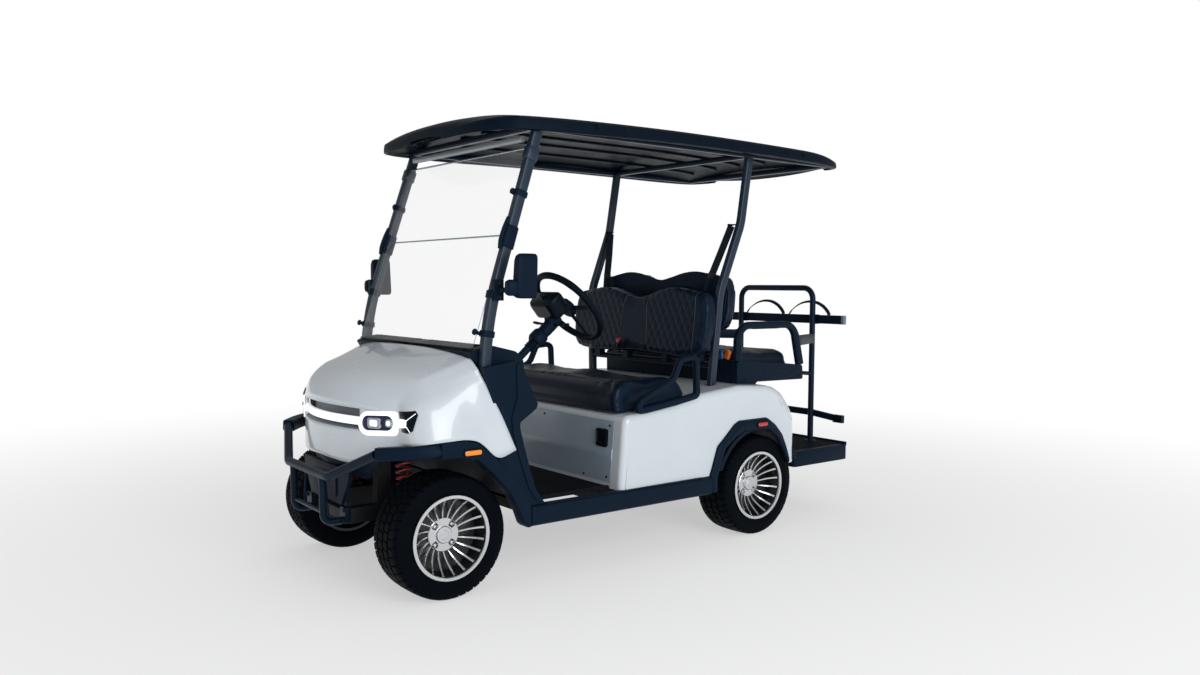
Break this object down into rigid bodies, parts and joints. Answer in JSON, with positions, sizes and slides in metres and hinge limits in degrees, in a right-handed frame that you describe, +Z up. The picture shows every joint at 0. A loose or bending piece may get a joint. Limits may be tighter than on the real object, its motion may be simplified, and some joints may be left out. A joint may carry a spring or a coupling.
{
  "type": "golf cart with rear-facing bench",
  "caption": "Electric golf cart with roof, folding-type windscreen, forward bench, rear-facing bench, footplate and bag rack; wheels roll, front wheels steer, cushions lift.",
  "frame": {"origin": "on the ground under the middle of the cart's overall length and width", "axes": "+X to the cart's left, +Y to its rear, +Z up"},
  "size_m": [1.298, 2.85, 1.9119],
  "materials": {
    "black_steel": "powder coated, satin",
    "silver_paint": "gloss silver paint on moulded panels",
    "black_plastic": "textured moulding",
    "roof_plastic": "satin moulding",
    "rubber_mat": "ribbed mat",
    "motor_paint": "cast, painted",
    "battery_case": "plain case",
    "lamp_lens": "clear lens over white light strips",
    "amber_lens": "amber lens",
    "red_lens": "red lens",
    "clear_acrylic": "clear sheet",
    "black_leatherette": "quilted",
    "black_webbing": "woven webbing",
    "tyre": "moulded tread",
    "alloy": "machined faces, black pockets"
  },
  "bodies": {
    "chassis": {"frame": "black_steel", "frame_crossbeams": "black_steel", "frame_uprights": "black_steel", "rear_springs": "black_steel", "front_suspension": "black_steel", "rear_axle": "black_steel", "motor": "motor_paint", "battery": "battery_case", "floor": "rubber_mat", "sills": "black_plastic", "side_cowls": "black_plastic", "front_cowl": "silver_paint", "front_lamps": "lamp_lens", "dash": "black_plastic", "front_valance": "black_plastic", "fender_trims": "black_plastic", "front_markers": "amber_lens", "rear_body": "silver_paint", "access_panel": "silver_paint", "charge_socket": "black_plastic", "rear_lamps": "red_lens", "wheel_liners": "black_plastic", "roof": "roof_plastic", "roof_pillars": "black_steel", "roof_frame": "black_steel", "windscreen": "clear_acrylic", "front_seat_back": "black_leatherette", "rear_seat_back": "black_leatherette", "seat_back_frame": "black_steel", "hip_restraints": "black_steel", "rear_seat_pan": "black_plastic", "seat_hinges": "black_steel", "rear_armrests": "black_plastic", "rear_hoop": "black_steel", "bag_rack": "black_plastic", "footplate": "black_plastic", "brush_guard": "black_steel", "steering_column": "black_plastic", "mirrors": "black_plastic", "pedals": "black_plastic", "straps": "black_webbing"},
    "knuckle_left": {"knuckle_left": "black_steel"},
    "knuckle_right": {"knuckle_right": "black_steel"},
    "tie_rod": {"tie_rod": "black_steel"},
    "steering_wheel": {"steering_wheel": "black_plastic"},
    "front_cushion": {"front_cushion": "black_leatherette"},
    "rear_cushion": {"rear_cushion": "black_leatherette"},
    "wheel_front_left": {"tyre_front_left": "tyre", "rim_front_left": "alloy"},
    "wheel_front_right": {"tyre_front_right": "tyre", "rim_front_right": "alloy"},
    "wheel_rear_left": {"tyre_rear_left": "tyre", "rim_rear_left": "alloy"},
    "wheel_rear_right": {"tyre_rear_right": "tyre", "rim_rear_right": "alloy"}
  },
  "joints": [
    {"name": "steer_left", "type": "hinge", "parent": "chassis", "child": "knuckle_left", "pos_m": [0.345, -1.065, 0.24], "axis": [0, 0, 1], "range_deg": [-28, 28]},
    {"name": "steer_right", "type": "hinge", "parent": "chassis", "child": "knuckle_right", "pos_m": [-0.345, -1.065, 0.24], "axis": [0, 0, 1], "range_deg": [-28, 28]},
    {"name": "tie_rod_shift", "type": "slide", "parent": "chassis", "child": "tie_rod", "axis": [1, 0, 0], "range_m": [-0.0515, 0.0515]},
    {"name": "steering_turn", "type": "hinge", "parent": "chassis", "child": "steering_wheel", "pos_m": [0.27, -0.327, 1.098], "axis": [0, 0.766, 0.6428], "range_deg": [-337, 337]},
    {"name": "front_seat_lift", "type": "hinge", "parent": "chassis", "child": "front_cushion", "pos_m": [0, 0.143, 0.705], "axis": [1, 0, 0], "range_deg": [-60, 0]},
    {"name": "rear_seat_lift", "type": "hinge", "parent": "chassis", "child": "rear_cushion", "pos_m": [0, 0.524, 0.852], "axis": [1, 0, 0], "range_deg": [0, 60]},
    {"name": "roll_front_left", "type": "hinge", "parent": "knuckle_left", "child": "wheel_front_left", "pos_m": [0.457, -1.065, 0.24], "axis": [1, 0, 0], "continuous": true},
    {"name": "roll_front_right", "type": "hinge", "parent": "knuckle_right", "child": "wheel_front_right", "pos_m": [-0.457, -1.065, 0.24], "axis": [1, 0, 0], "continuous": true},
    {"name": "roll_rear_left", "type": "hinge", "parent": "chassis", "child": "wheel_rear_left", "pos_m": [0.479, 0.595, 0.24], "axis": [1, 0, 0], "continuous": true},
    {"name": "roll_rear_right", "type": "hinge", "parent": "chassis", "child": "wheel_rear_right", "pos_m": [-0.479, 0.595, 0.24], "axis": [1, 0, 0], "continuous": true}
  ],
  "couplings": [
    {"joint": "steer_right", "follows": "steer_left", "ratio": 1},
    {"joint": "tie_rod_shift", "follows": "steer_left", "m_per_rad": -0.105},
    {"joint": "steering_turn", "follows": "steer_left", "ratio": 12}
  ]
}
